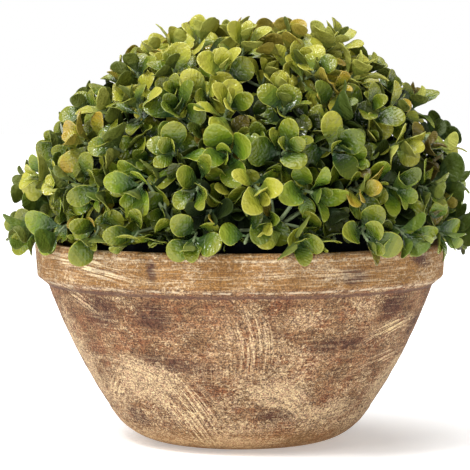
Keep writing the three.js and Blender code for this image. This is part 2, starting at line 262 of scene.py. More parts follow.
# Place round and up, size along and across, turn in degrees
PALE_PATCHES = [
    (-48, 37, 30, 15, -12), (28, 68, 14, 7, 5), (22, 30, 24, 8, -6),
    # The long low patch at the front of the foot is a pale streak, and partly painted light that lightens
    # the foot
    (-10, 5, 60, 5, 0), (-98, 50, 18, 30, 0), (96, 30, 16, 20, 0),
]
SMUDGES = [
    (-63, 70, 15, 13, 20), (-37, 69, 13, 11, -20), (70, 72, 13, 9, 10), (-33, 46, 28, 6, -6),
    (22, 20, 20, 5, -4), (-68, 17, 14, 8, -20), (80, 94, 5, 12, 70), (-33, 91, 9, 3, 88),
    (43, 88, 10, 6, 0), (45, 55, 22, 5, 4), (100, 60, 10, 9, 0),
]
# Place round and up, size along and across, turn in degrees, bend, gap between bristle lines, strength
BRUSH_STROKES = [
    (-27, 22, 30, 20, -56, 0.12, 1.9, 0.85), (6, 58, 24, 15, -80, 0.4, 1.6, 0.7),
    (-52, 43, 30, 8, -15, 0.5, 1.6, 0.65), (-76, 29, 17, 11, 40, 0.2, 1.5, 0.8),
    (-78, 77, 22, 6, -24, 0.4, 1.3, 0.75), (74, 61, 22, 6, 17, 0.3, 1.4, 1.1),
    (78, 46, 24, 6, 12, 0.3, 1.4, 0.8), (56, 20, 26, 6, 8, 0.4, 1.4, 0.6),
    (-7, 42, 7, 26, 88, 0.0, 1.4, 0.35), (26, 28, 20, 9, -28, 0.4, 1.7, 0.75),
    (-62, 92, 34, 7, -8, 0.5, 1.8, 1.1), (30, 90, 40, 6, 2, 0.3, 1.2, 0.5),
    (104, 40, 26, 10, 24, 0.2, 1.5, 0.7), (-106, 50, 26, 10, -30, 0.2, 1.5, 0.7),
]

# A leaf's cell in the map for baking: how many rows of cells there are to a column, the share of a
# cell that the leaf fills across and along, and the margin under it
CELL_SHAPE = 1.6
CELL_FILL = (0.88, 0.92)
CELL_MARGIN = 0.04

# How finely the pieces are meshed
POT_SIDES = 320
FOAM_SIDES = 128
POT_STEP = 1.3 * MM
POT_INSIDE_STEP = 9 * MM
FOAM_STEP = 3.5 * MM
FOAM_CRUMB_DEPTH = 0.8 * MM
# The share of a side that its corner's fillet may take
MOST_FILLET = 0.45

FILL_PLACE = Vector((-0.25, -1.6, 0.16))
KEY_PLACE = Vector((-1.2, -1.0, 1.6))
TOP_PLACE = Vector((-0.1, 0.35, 2.0))
GLOSS_PLACE = Vector((-0.6, -0.75, 1.3))
PLANT_MIDDLE = Vector((0, 0, 0.12))


def linear(hex_colour):
    """An sRGB hex colour as linear red, green and blue."""
    parts = [int(hex_colour[i:i + 2], 16) / 255 for i in (0, 2, 4)]
    return tuple(c / 12.92 if c <= 0.04045 else ((c + 0.055) / 1.055) ** 2.4 for c in parts)


def a_number(name, description, default, **kind):
    return FloatProperty(name=name, description=description, default=default, **{"min": 0, **kind})


def a_size(name, description, default, low=0):
    return a_number(name, description, default, min=low, unit="LENGTH", precision=4)


def a_colour(name, description, default):
    return FloatVectorProperty(name=name, description=description, default=linear(default),
                               subtype="COLOR", size=3, min=0, max=1)


class PotSettings(bpy.types.PropertyGroup):
    """Sizes and colours of the clay bowl pot"""
    height: a_size("Height", "Height of the pot, from the solids", POT_HIGH.z)
    rim_radius: a_size("Rim radius", "Outer radius of the rim, from the solids", POT_HIGH.x)
    wall: a_size("Wall", "Thickness of the wall", 7 * MM)
    relief: a_size("Relief", "How far the hand-worked clay swells and dips", 0.35 * MM)
    clay: a_colour("Clay", "Fired clay under the wash", "775D45")
    rust: a_colour("Rust", "Redder clay where the wash is rubbed off", "8A563C")
    tan: a_colour("Tan", "Thin wash over clay", "9C7E61")
    # At the foot the ochre also darkens the clay as painted shade
    ochre: a_colour("Ochre", "Warmer clay on the band and at the foot", "A07538")
    cream: a_colour("Cream", "Thick wash left in brush marks", "DECEB0")
    smudge: a_colour("Smudge", "Dark stain rubbed into the clay", "563C34")
    pit: a_colour("Pit", "Dirt in the grain", "4A2C1E")


class FoamSettings(bpy.types.PropertyGroup):
    """Sizes and colours of the foam that carries the sprigs, and of its dowel"""
    crumb: a_size("Crumb", "Size of the foam's cells", 2.2 * MM)
    # Nearly black: painted shade for the gaps between the sprigs, where the foam shows
    colour: a_colour("Colour", "Dark green floral foam", "12151A")
    stem: a_colour("Stem", "Turned dowel", "9A7850")


class TwigSettings(bpy.types.PropertyGroup):
    """Sizes and colour of the moulded twigs"""
    radius: a_size("Radius", "Radius of a branch at its fork", 1.15 * MM)
    end_radius: a_size("End radius", "Radius of a twig at its tip", 0.6 * MM)
    runs_on: a_size("Runs on", "How far twigs pass the source's tips, as leaves are shorter", 3.0 * MM)
    sides: IntProperty(name="Sides", description="Sides of a twig", default=6, min=3, max=12)
    colour: a_colour("Colour", "Pale grey-green twig", "74825A")


class LeafSettings(bpy.types.PropertyGroup):
    """Sizes of a moulded leaf"""
    length: a_size("Length", "From the petiole's root to the tip", 17.6 * MM)
    width: a_size("Width", "Across the widest place", 13.8 * MM)
    thickness: a_size("Thickness", "In the middle of the blade", 0.55 * MM)
    cup: a_size("Cup", "How far the sides rise", 1.3 * MM)
    curl: a_size("Curl", "How far the tip bends back", 1.2 * MM)
    crinkle: a_size("Crinkle", "Height of the uneven moulded surface", 0.3 * MM)


class StageSettings(bpy.types.PropertyGroup):
    """Camera, floor and light"""
    distance: a_size("Distance", "From the camera to the pot's axis", 1100 * MM)
    eye_height: a_size("Eye height", "Camera above the floor", 170.8 * MM)
    lens: a_number("Lens", "Focal length on a 36 mm sensor", 168.5, min=10)
    aim_height: a_size("Aim height", "Where the camera looks, on the pot's axis", 102.0 * MM)
    aim_side: a_size("Aim side", "Where the camera looks, beside the axis", -2.7 * MM, -1)
    ambient: a_number("Ambient", "Strength of the even light", 0.33)
    key: a_number("Key", "Strength of the broad light in front", 1.42)
    top: a_number("Top", "Strength of the broad light overhead", 2.1)
    spread: a_number("Spread", "How wide these two look from the plant", radians(48), subtype="ANGLE")
    fill: a_number("Fill", "Power of the soft box low in front", 4.0, unit="POWER")
    gloss: a_number("Gloss", "Power of the small soft box above", 12.0, unit="POWER")
    floor: a_colour("Floor", "Pale studio floor", "FAFAFA")
    glow: a_number("Glow", "How strongly the light table shines from below", 0.34)


class TopiarySettings(bpy.types.PropertyGroup):
    """Everything that can be changed before the pieces are made"""
    pot: PointerProperty(type=PotSettings)
    foam: PointerProperty(type=FoamSettings)
    twig: PointerProperty(type=TwigSettings)
    leaf: PointerProperty(type=LeafSettings)
    stage: PointerProperty(type=StageSettings)


# Meshes

def placed(name, data):
    """An object with this data, in the scene."""
    made = bpy.data.objects.new(name, data)
    bpy.context.scene.collection.objects.link(made)
    return made


def mesh_object(name, points, faces, materials, material_of=None, maps=None):
    """A smooth mesh object from an array of points and arrays of faces, with the UV maps given, one place
    for each face corner.
    """
    mesh = bpy.data.meshes.new(name)
    counts = np.concatenate([np.full(len(group), group.shape[1]) for group in faces])
    corners = np.concatenate([group.ravel() for group in faces]).astype(np.int32)
    mesh.vertices.add(len(points))
    mesh.vertices.foreach_set("co", np.ascontiguousarray(points, dtype=np.float32).ravel())
    mesh.loops.add(len(corners))
    mesh.polygons.add(len(counts))
    mesh.polygons.foreach_set("loop_start", np.concatenate([[0], np.cumsum(counts)[:-1]]).astype(np.int32))
    mesh.polygons.foreach_set("vertices", corners)
    for material in materials:
        mesh.materials.append(material)
    if material_of is not None:
        mesh.polygons.foreach_set("material_index", material_of.astype(np.int32))
    mesh.polygons.foreach_set("use_smooth", np.ones(len(counts), dtype=bool))
    for map_name, places in (maps or {}).items():
        layer = mesh.uv_layers.new(name=map_name)
        layer.data.foreach_set("uv", np.ascontiguousarray(places, dtype=np.float32).ravel())
    mesh.update(calc_edges=True)
    if mesh.validate():
        raise RuntimeError(f"{name} had faulty faces")
    return placed(name, mesh)


def attach(piece, slot, *nodes):
    """Every piece rides on the one body and stands for some nodes, whose own meshes it hides. The slot is
    not used.
    """
    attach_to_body(piece, "root")
    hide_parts(*nodes)


def skin(rows, sides):
    """Quads between rings of points, and a fan at each end round one of two points after the rings."""
    k = np.arange(sides)
    after = (k + 1) % sides
    low = np.arange(rows - 1)[:, None] * sides
    high = low + sides
    quads = np.stack([low + k, low + after, high + after, high + k], axis=-1).reshape(-1, 4)
    last = (rows - 1) * sides
    middle = np.full(sides, rows * sides)
    fans = [(middle, after, k), (middle + 1, last + k, last + after)]
    return [quads, np.concatenate([np.stack(fan, axis=-1) for fan in fans])]


def turned_surface(profile, sides, centre_x=0.0):
    """Points and faces of a closed lathe from a profile of (radius, height) whose ends are on the axis."""
    angles = np.arange(sides) * 2 * pi / sides
    radius, height = (np.array(column[1:-1])[:, None] for column in zip(*profile))
    grid = np.stack([centre_x + radius * np.cos(angles), radius * np.sin(angles),
                     np.broadcast_to(height, (len(height), sides))], axis=-1)
    ends = [[centre_x, 0, profile[0][1]], [centre_x, 0, profile[-1][1]]]
    return np.concatenate([grid.reshape(-1, 3), ends]), skin(len(height), sides)


def tube(points, radii, sides):
    """Points and faces of a closed limb along a line, with a radius at each place."""
    line = np.array(points)
    way = np.gradient(line, axis=0)
    way /= np.linalg.norm(way, axis=1)[:, None]
    helper = np.array(level_and_up(Vector(way[0]))[0])
    side = helper - way * (way @ helper)[:, None]
    side /= np.linalg.norm(side, axis=1)[:, None]
    angle = (np.arange(sides) * 2 * pi / sides)[None, :, None]
    ring = side[:, None] * np.cos(angle) + np.cross(way, side)[:, None] * np.sin(angle)
    rings = line[:, None] + ring * np.array(radii)[:, None, None]
    return np.concatenate([rings.reshape(-1, 3), line[:1], line[-1:]]), skin(len(line), sides)


def joined(parts):
    """Several pieces, each of points, quads and triangles, as one."""
    starts = np.cumsum([0] + [len(points) for points, _ in parts])
    faces = [np.concatenate([group[kind] + start for (_, group), start in zip(parts, starts)])
             for kind in (0, 1)]
    return np.concatenate([points for points, _ in parts]), faces


def arc(centre, radius, start, end, steps):
    angles = [start + (end - start) * i / steps for i in range(steps + 1)]
    return [(centre[0] + radius * cos(a), centre[1] + radius * sin(a)) for a in angles]


def bent(start, pull, end, t):
    """The place at a share t of a curve that leaves its start towards a pull and ends at its end."""
    return start * (1 - t) ** 2 + pull * 2 * t * (1 - t) + end * t ** 2


def with_soft_corners(corners, step):
    """A polyline with each corner rounded by its own fillet and every long run split into short ones."""
    rounded = []
    for i, (x, z, fillet) in enumerate(corners):
        here = Vector((x, z))
        if fillet == 0 or i in (0, len(corners) - 1):
            rounded.append(here)
            continue
        before = Vector(corners[i - 1][:2]) - here
        after = Vector(corners[i + 1][:2]) - here
        start = here + before * min(fillet / before.length, MOST_FILLET)
        end = here + after * min(fillet / after.length, MOST_FILLET)
        rounded += [bent(start, here, end, k / 4) for k in range(5)]
    line = [rounded[0]]
    for point in rounded[1:]:
        start = line[-1]
        gap = point - start
        if gap.length > 1e-6:
            count = max(1, ceil(gap.length / step))
            line += [start + gap * (k + 1) / count for k in range(count)]
    return [(p.x, p.y) for p in line]


def bowl_wall(pot, inset, floor, foot_steps, wall_steps):
    """The bowl's outer wall from its foot to the underside of the band, moved inwards by inset."""
    rounding = FOOT_ROUNDING - inset
    top_x = pot.rim_radius - BAND_TAPER - STEP_DEPTH - inset
    top_z = pot.height - BAND_HEIGHT - STEP_HEIGHT
    across, up = top_x - BASE_RADIUS, top_z - FOOT_ROUNDING
    tangent = atan2(up, across) - acos(rounding / hypot(across, up))
    line = [(x, max(z, floor)) for x, z in
            arc((BASE_RADIUS, FOOT_ROUNDING), rounding, -pi / 2, tangent, foot_steps)]
    foot_x, foot_z = line[-1]
    for i in range(1, wall_steps + 1):
        t = i / wall_steps
        swell = 4 * WALL_BULGE * t * (1 - t)
        line.append((foot_x + (top_x - foot_x) * t + swell * cos(tangent),
                     foot_z + (top_z - foot_z) * t + swell * sin(tangent)))
    return line


# Materials

# Settings that many nodes share
TIMES = {"operation": "MULTIPLY"}
TIMES_PLUS = {"operation": "MULTIPLY_ADD"}
SOFTLY = {"interpolation_type": "SMOOTHSTEP"}
OF_COLOURS = {"data_type": "RGBA"}


def plug(node, inputs):
    """Sets inputs of a node. One that is a socket is linked, and any other is set."""
    for key, value in inputs.items():
        socket = node.inputs[key]
        if isinstance(value, bpy.types.NodeSocket):
            node.id_data.links.new(value, socket)
        else:
            socket.default_value = (*value, 1.0) if socket.type == "RGBA" else value


def add(tree, kind, inputs=(), output=0, **settings):
    """Adds a node with its settings and links, and gives one of its outputs."""
    node = tree.nodes.new("ShaderNode" + kind)
    for name, value in settings.items():
        setattr(node, name, value)
    plug(node, inputs if isinstance(inputs, dict) else dict(enumerate(inputs)))
    return node.outputs[output]


def new_material(name):
    """A material, and the way to add a node to it."""
    material = bpy.data.materials.new(name)
    material.use_nodes = True
    return material, partial(add, material.node_tree)


def finish(material, inputs):
    """Sets the shader's own sockets."""
    plug(material.node_tree.nodes["Principled BSDF"], inputs)
    return material


def in_millimetres(node):
    """The object's own coordinates, counted in millimetres."""
    return node("VectorMath", (node("TexCoord", output="Object"), (1000, 1000, 1000)), **TIMES)


def clay_material(pot):
    """Fired clay, hand-thrown, stained dark and brushed with a cream wash that is then rubbed back.

    To the eye: matt and granular, tan where the wash is thin, cream in the brush marks, brown where
    it is rubbed off and nearly black-brown in a few smudges. Cream lines on the rim's top and the
    band's lower edge are painted highlights, and a dark line in the corner under the band is painted
    shade; the lower wall is lighter, as painted light, and the foot warmer and darker, partly from
    its clay and partly as painted shade.
    """
    material, node = new_material("fired_clay_with_rubbed_cream_wash")
    mm = in_millimetres(node)
    axes = node("SeparateXYZ", (mm,)).node.outputs
    height = axes["Z"]
    # The wall as if unrolled flat, in mm: how far round from the front, or from the back, and how high
    front = node("Math", (axes["Y"], -1), **TIMES)
    ratio = node("Math", (axes["X"], front), operation="DIVIDE")
    angle = node("Math", (ratio,), operation="ARCTANGENT")
    unrolled = node("CombineXYZ", (node("Math", (angle, WALL_RADIUS_MM), **TIMES), height))

    def grain(size, detail=2.0, stretch=(1, 1, 1), warp=0.0, shift=(0, 0, 0), ragged=0.6):
        """Noise whose blotches are size mm wide, stretched along the axes."""
        scale = [1 / (size * s) for s in stretch]
        return node("TexNoise", {
            "Vector": node("Mapping", {"Vector": mm, "Location": shift, "Scale": scale}),
            "Scale": 1.0, "Detail": detail, "Roughness": ragged, "Distortion": warp})

    def folded(operation, masks):
        """Several masks as one. A value with two marks is a mask that rises softly between them."""
        masks = [node("MapRange", mask, **SOFTLY) if isinstance(mask, tuple) else mask for mask in masks]
        return reduce(lambda one, other: node("Math", (one, other), operation=operation), masks)

    def spot(round_mm, up_mm, along, across, turn, bend=0.0):
        """A soft oval on the unrolled wall: how strong it is, and the place within it from -1 to 1."""
        inside = node("Mapping", {
            "Vector": unrolled, "Location": (round_mm, up_mm, 0), "Rotation": (0, 0, radians(turn)),
            "Scale": (along, across, 1)}, vector_type="TEXTURE")
        if bend:
            x, y, _ = node("SeparateXYZ", (inside,)).node.outputs
            square = node("Math", (x, x), **TIMES)
            inside = node("CombineXYZ", (x, node("Math", (square, bend, y), **TIMES_PLUS)))
        return (node("VectorMath", (inside,), "Value", operation="LENGTH"), 1.0, 0.3), inside

    def brushed(round_mm, up_mm, along, across, turn, bend, gap, amount):
        """Bristle lines, gap mm apart, along a turned and bent oval: the wash and the bare lines."""
        strength, inside = spot(round_mm, up_mm, along, across, turn, bend)
        lines = node("VectorMath", (inside, (along / BRISTLE_RUN_MM, across / gap, 1)), **TIMES)
        bristle = node("TexNoise", {
            "Vector": lines, "Scale": 1.0, "Detail": 2.0, "Roughness": 0.7, "Distortion": 0.3})
        return [folded("MULTIPLY", ((bristle, *marks), strength, amount))
                for marks in ((0.48, 0.55), (0.46, 0.36))]

    def line_at(value, middle, reach, core):
        """A soft line where a value passes its middle."""
        off = node("Math", (value, middle), operation="SUBTRACT")
        return node("Math", (off,), operation="ABSOLUTE"), reach, core

    def level_line(middle, reach, amount):
        """A wavy level line round the pot, reach mm to either side of its middle height."""
        waver = node("Math", (grain(14, 2, (1, 1, 0.4)), 1.6, -0.8), **TIMES_PLUS)
        here = node("Math", (height, waver), operation="ADD")
        return folded("MULTIPLY", (line_at(here, middle, reach, reach * 0.3), amount))

    on_band = node("MapRange", (height, BAND_FOOT_MM - 1, BAND_FOOT_MM + 1), **SOFTLY)
    off_band = (height, BAND_FOOT_MM, BAND_FOOT_MM - 2)

    def share(wall, band):
        """A share that is one on the wall and another on the band."""
        return node("MapRange", (on_band, 0, 1, wall, band))

    # Grit of half a millimetre and finer is drawn at 0.8 mm and up, the least that the picture can show
    mottle = grain(14, 4)
    drift = grain(22, 3, (1.5, 1.5, 0.8), shift=(3, 9, 1))
    red_patches = grain(9, 3, shift=(5, 1, 8))
    fine = grain(2.0, 4, (1.35, 1.35, 0.9), 0.8, ragged=0.9)
    grime = grain(1.7, 4, (1.4, 1.4, 0.85), shift=(7, 3, 5), ragged=0.9)
    wrinkles = grain(2.6, 2, (1.5, 1.5, 0.8), 1.5, (2, 8, 4))
    grit = grain(0.8, 2)
    clots = grain(3.2, 3)
    level = grain(1.0, 3, (18, 18, 0.9), 0.4)
    pale, smudges = (folded("MAXIMUM", [spot(*row)[0] for row in rows]) for rows in (PALE_PATCHES, SMUDGES))
    washed, bare = (folded("MAXIMUM", masks) for masks in zip(*[brushed(*row) for row in BRUSH_STROKES]))
    ring_share = share(0.24, 0.4)
    rings, grooves = (folded("MULTIPLY", ((level, *marks), ring_share))
                      for marks in ((0.52, 0.62), (0.46, 0.36)))
    worked = folded("MAXIMUM", (washed, rings))
    # The wash stays in the fine hollows, more of it where it was laid on thick
    # More wash lower down the wall: painted light that makes the lower wall lighter
    lit_low_wall = node("MapRange", (height, 52, 18), **SOFTLY)
    thick = -0.335
    for mask, weight in ((drift, 0.55), (pale, 0.14), (smudges, -0.06), (lit_low_wall, 0.07), (fine, 1.0)):
        thick = node("Math", (mask, weight, thick), **TIMES_PLUS)
    creases = folded("MULTIPLY", (line_at(wrinkles, 0.5, 0.045, 0.012), 0.6))
    dirt = folded("MAXIMUM", ((grime, 0.46, 0.39), creases))
    coarse = folded("MULTIPLY", ((grit, 0.38, 0.62),))
    grains = node("Mix", {0: coarse, 6: pot.pit, 7: pot.cream}, 2, **OF_COLOURS)
    edge_highlights = folded("MAXIMUM", [level_line(*row) for row in EDGE_HIGHLIGHTS])

    # The layers over the clay, from the lowest: the masks whose product is the layer's share, its
    # colour, and how it is laid on
    layers = [
        # Khaki to tan, warmer on the band, redder in patches, stained in the smudges
        (((mottle, 0.38, 0.62),), pot.tan, "MIX"),
        ((on_band, 0.6), pot.ochre, "MIX"),
        (((red_patches, 0.42, 0.66), off_band, 0.6), pot.rust, "MIX"),
        ((smudges, (clots, 0.26, 0.54), 0.95), pot.smudge, "MIX"),
        # The wash, the brush marks and the throwing rings
        (((thick, 0.46, 0.59), 0.72), pot.cream, "MIX"),
        ((bare, 0.6), pot.smudge, "MIX"),
        ((worked,), pot.cream, "MIX"),
        ((grooves,), pot.smudge, "MIX"),
        # Dirt in the grain, less of it on the band and in the brush marks
        ((dirt, share(0.85, 0.4), (washed, 1.2, 0.2)), pot.pit, "MIX"),
        ((share(0.65, 0.4),), grains, "OVERLAY"),
        # Painted highlights: cream lines along the rim's top and the band's lower edge. Painted shade: a
        # dark line in the corner under the band
        ((edge_highlights, (clots, 0.4, 0.62)), pot.cream, "MIX"),
        ((level_line(CORNER_SHADE_MM, 1.3, 0.7),), pot.smudge, "MIX"),
        # Warmer and darker towards the foot: partly the clay's own warm tone there, partly painted shade
        # that offsets the light from the glowing floor
        (((height, 16, 2), 0.36), pot.ochre, "MIX"),
    ]
    colour = pot.clay
    for masks, tint, blend in layers:
        amount = folded("MULTIPLY", masks)
        colour = node("Mix", {0: amount, 6: colour, 7: tint}, 2, blend_type=blend, **OF_COLOURS)

    relief = node("Math", (worked, 0.5, grit), **TIMES_PLUS)
    return finish(material, {
        "Base Color": colour,
        "Roughness": node("MapRange", (relief, 0, 1, 0.96, 0.8)),
        "Normal": node("Bump", {"Strength": 0.7, "Distance": 0.4 * MM, "Height": relief}),
        "Specular IOR Level": 0.25,
    })


def foam_material(foam):
    """Floral foam, cut and crumbly: a very dark green, nearly black as painted shade for the gaps between
    the sprigs, with open cells, dull from every side.
    """
    material, node = new_material("cut_floral_foam")
    cells = node("TexVoronoi", {"Vector": in_millimetres(node), "Scale": MM / foam.crumb}, "Distance")
    dark = [c * 0.35 for c in foam.colour]
    return finish(material, {
        "Base Color": node("Mix", {0: cells, 6: dark, 7: foam.colour}, 2, **OF_COLOURS),
        "Normal": node("Bump", {"Strength": 0.8, "Distance": 0.6 * MM, "Height": cells}),
        "Roughness": 0.95,
        "Specular IOR Level": 0.1,
    })


def dowel_material(foam):
    """Turned beech dowel: pale straight grain along its length, with no polish."""
    material, node = new_material("turned_beech_dowel")
    along = node("Mapping", {"Vector": in_millimetres(node), "Scale": (1.4, 1.4, 0.08)})
    grain = node("TexNoise", {"Vector": along, "Scale": 1.0, "Detail": 3.0})
    dark = [c * 0.6 for c in foam.stem]
    return finish(material, {
        "Base Color": node("Mix", {0: grain, 6: dark, 7: foam.stem}, 2, **OF_COLOURS),
        "Normal": node("Bump", {"Strength": 0.4, "Distance": 0.2 * MM, "Height": grain}),
        "Roughness": 0.7,
    })


def twig_material(twig):
    """Moulded polyethylene twig: pale grey-green, satin, with a little pitting along it."""
    material, node = new_material("moulded_polyethylene_twig")
    pits = node("TexNoise", {"Vector": in_millimetres(node), "Scale": 0.9, "Detail": 2.0})
    return finish(material, {
        "Base Color": twig.colour,
        "Normal": node("Bump", {"Strength": 0.5, "Distance": 0.15 * MM, "Height": pits}),
        "Roughness": 0.5,
    })


def leaf_material(tone, zone):
    """Moulded polyethylene leaf: satin, with side veins and a skin crinkled about every 3.6 mm.

    To the eye: they break the highlight into short pale streaks. The colour is plain and is dealt
    out by zone of the leaf and by spray. The paler rim is a painted highlight, the dark base is
    partly painted shade, the dark tones of shaded twigs are painted shade, and the bright tones and
    the paler sprays on the lit side are painted light.
    """
    material, node = new_material(f"moulded_polyethylene_leaf_{tone}_{zone}")
    first, second, share = ZONES[zone]
    pair = zip(linear(LEAF_TONES[tone][first]), linear(LEAF_TONES[tone][second]))
    across, along, _ = node("SeparateXYZ", (node("UVMap", uv_map="LeafMillimetres"),)).node.outputs
    aside = node("Math", (across,), operation="ABSOLUTE")
    slanted = node("Math", (aside, VEIN_SLANT, along), **TIMES_PLUS)
    veins = node("Math", (node("Math", (slanted, 2 * pi / VEIN_GAP_MM), **TIMES),), operation="SINE")
    crinkles = node("TexNoise", {"Vector": in_millimetres(node), "Scale": 0.28, "Detail": 2.0})
    height = node("Math", (veins, VEIN_SHARE, crinkles), **TIMES_PLUS)
    dull = zone.startswith("under") or tone == "shade"
    return finish(material, {
        "Base Color": [a + (b - a) * share for a, b in pair],
        "Normal": node("Bump", {"Strength": 0.9, "Distance": 1.6 * MM, "Height": height}),
        "Roughness": 0.5 if dull else 0.2,
        "Specular IOR Level": 0.1 if tone == "shade" else 0.38,
    })


# Growth

class Stream:
    """The same numbers every time, from one seed: the source's own linear congruential stream."""
    WORD = 2 ** 32
    SCATTER = 2654435761
    FACTOR = 1664525
    STEP = 1013904223

    def __init__(self, seed):
        self.state = (seed * self.SCATTER) % self.WORD
        self.share()

    def share(self):
        self.state = (self.state * self.FACTOR + self.STEP) % self.WORD
        return self.state / self.WORD

    def between(self, limits):
        return limits[0] + (limits[1] - limits[0]) * self.share()

    def choice(self, weights):
        mark = self.share() * sum(weights.values())
        for name, weight in weights.items():
            mark -= weight
            if mark < 0:
                return name
        return name


def level_and_up(axis):
    """Two directions square to an axis: level, and up the dome."""
    level = UP.cross(axis)
    if level.length_squared < 1e-4:
        level = Vector((1, 0, 0))
    level.normalize()
    return level, axis.cross(level)


def aimed(first, second, angle):
    """The direction that is turned from the first towards the second by an angle."""
    return first * cos(angle) + second * sin(angle)


def sprig_places():
    """Where every sprig stands, as in the source."""
    sprigs = []
    for row, tier in enumerate(TIERS):
        for i in range(tier["count"]):
            stream = Stream(SEED + 100 * row + i)
            turn = radians(tier["turn"] + (i + stream.between(VARY["place"])) * 360 / tier["count"])
            rise = radians(tier["angle"] + (stream.between(VARY["rise"]) if tier["count"] > 1 else 0))
            axis = Vector((cos(rise) * cos(turn), cos(rise) * sin(turn), sin(rise)))
            name = f"sprig_{tier['name']}_{i + 1:02d}"
            sprigs.append({"name": name, "tier": tier, "axis": axis, "stream": stream})
    return sprigs


def tip_at(out, lift, pot_height):
    """The place above the dome in a direction, kept over the rim."""
    tip = CROWN_CENTRE + out * (DOME_RADIUS + lift)
    tip.z = max(tip.z, pot_height + TIP_OVER_RIM)
    return tip


def strayed(stream):
    """A small turn of a twig's end to any side."""
    return Vector([stream.between(STRAY) for _ in range(3)])


def finer_twig(branch, rule, stream, turn, lift, shaded, pot_height):
    """A finer twig from a branch, spread to one side of it."""
    aside = aimed(*level_and_up(branch["sprig"]["axis"]), turn)
    out = (branch["out"] + aside * tan(radians(stream.between(rule["spread"])))).normalized()
    tip = tip_at(out, lift + stream.between(rule["reach"]), pot_height)
    droop = branch["droop"] + (stream.between(rule["droop"]) if "droop" in rule else 0)
    return {**branch, "start": branch["start"].lerp(branch["tip"], rule["from"]), "tip": tip, "out": out,
            "droop": droop, "turn": stream.between((0, 180)), "side": True, "shaded": shaded,
            "stray": strayed(stream)}


def branches_of(sprig, runs_on, pot_height):
    """The branches of a sprig, as in the source, each run on by a little, and two finer twigs from each."""
    axis, tier, stream = sprig["axis"], sprig["tier"], sprig["stream"]
    runs_on = runs_on * tier["past"]
    level, up = level_and_up(axis)
    count = BRANCHES if tier["count"] > 1 else CROWN_BRANCHES
    fork = CROWN_CENTRE + axis * (DOME_RADIUS + FORK_LIFT)
    start = stream.between(VARY["start"])
    twigs = []
    for k in range(count):
        turn = radians(start + k * 360 / count + stream.between(VARY["turn"]))
        spread = tan(radians(BRANCH_SPREAD + stream.between(VARY["spread"])))
        out = (axis + aimed(level, up, turn) * spread).normalized()
        lift = tier["lift"] + stream.between(VARY["lift"]) + LONG_SPRIGS.get(sprig["name"], 0)
        lift -= HELD_BACK.get(sprig["name"], 0)
        droop = tier["droop"] * stream.between(VARY["droop"])
        if sprig["name"] in LONG_SPRIGS:
            droop *= LONG_DROOP
        # A stream of its own for what this script adds, so that the source's stays in step
        fine = Stream(FINE_SEED + len(twigs) + 17 * round(1000 * turn) + 7919 * round(1e5 * axis.x))
        branch = {"sprig": sprig, "side": False, "out": out, "start": fork, "droop": droop,
                  "tip": tip_at(out, lift + runs_on, pot_height),
                  "turn": stream.between(VARY["rosette"]), "stray": strayed(fine)}
        side_turn = radians(
            degrees(turn) + fine.between(SIDE_TURN) * (1 if fine.share() < 0.5 else -1))
        side = finer_twig(branch, SIDE_TWIG, fine, side_turn, lift + runs_on, tier["shaded"][0], pot_height)
        inner_turn = radians(fine.between((0, 360)))
        inner = finer_twig(branch, INNER_TWIG, fine, inner_turn, 0, tier["shaded"][1], pot_height)
        twigs += [branch, side, inner]
    return twigs


def spread_tips(twigs, pot_height):
    """Tips closer than a rosette's room move apart over the dome, fine twigs more than branches."""
    centre = np.array(CROWN_CENTRE)
    tips = np.array([twig["tip"] for twig in twigs]) - centre
    reach = np.linalg.norm(tips, axis=1)[:, None]
    kind = np.array([int(twig["side"]) for twig in twigs])
    room = np.array(TIP_GAPS)[kind[:, None], kind[None]] / (DOME_RADIUS + TIERS[1]["lift"])
    weight = np.array(TIP_WEIGHTS)[kind]
    share = (weight[:, None] / (weight[:, None] + weight[None]))[..., None]
    way = tips / reach
    lowest = (pot_height + TIP_OVER_RIM - centre[2]) / reach[:, 0]
    for _ in range(SPREAD_ROUNDS):
        gap = way[:, None] - way[None]
        distance = np.linalg.norm(gap, axis=2) + np.eye(len(way))
        push = np.clip(room - distance, 0, None) * (1 - np.eye(len(way)))
        way = way + (gap / distance[..., None] * push[..., None] * share).sum(axis=1) * 0.5
        way = way / np.linalg.norm(way, axis=1)[:, None]
        way[:, 2] = np.maximum(way[:, 2], lowest)
    for twig, tip in zip(twigs, centre + way * reach):
        twig["tip"] = Vector(tip)
        twig["out"] = (twig["tip"] - CROWN_CENTRE).normalized()


def grow(settings):
    """Every sprig, and all branches and finer twigs, each with the way that its end points."""
    pot_height = settings.pot.height
    sprigs = sprig_places()
    twigs = [twig for sprig in sprigs for twig in branches_of(sprig, settings.twig.runs_on, pot_height)]
    spread_tips(twigs, pot_height)
    for twig in twigs:
        lean = (twig["tip"] - twig["start"]).normalized() * (FINE_LEAN if twig["side"] else BRANCH_LEAN)
        twig["way"] = (twig["out"] - UP * twig["droop"] + lean + twig["stray"]).normalized()
        twig["elbow"] = twig["tip"] - twig["way"] * END_LENGTH
    return sprigs, twigs


def twig_line(twig, settings):
    """A twig's middle line and radii: a bend up to its straight end, and a swelling at each leaf pair on
    that end.
    """
    start, elbow, tip, way = twig["start"], twig["elbow"], twig["tip"], twig["way"]
    base = twig["out"] if twig["side"] else twig["sprig"]["axis"]
    pull = start + base * (elbow - start).length * 0.5
    thick = settings.twig.radius * (FINE_THICKNESS if twig["side"] else 1)
    thin = settings.twig.end_radius
    line = [bent(start, pull, elbow, k / BEND_STEPS) for k in range(BEND_STEPS)]
    radii = [thick + (thin - thick) * k / BEND_STEPS * TAPER for k in range(BEND_STEPS)]
    for below, _, _ in LEAF_PAIRS:
        if below < END_LENGTH:
            node = tip - way * below
            line += [node - way * 0.9 * MM, node, node + way * 0.7 * MM]
            radii += [thin * 1.05, thin * 1.5, thin]
    return [*line, tip + way * 0.6 * MM], [*radii, thin * 0.7]


# Leaves

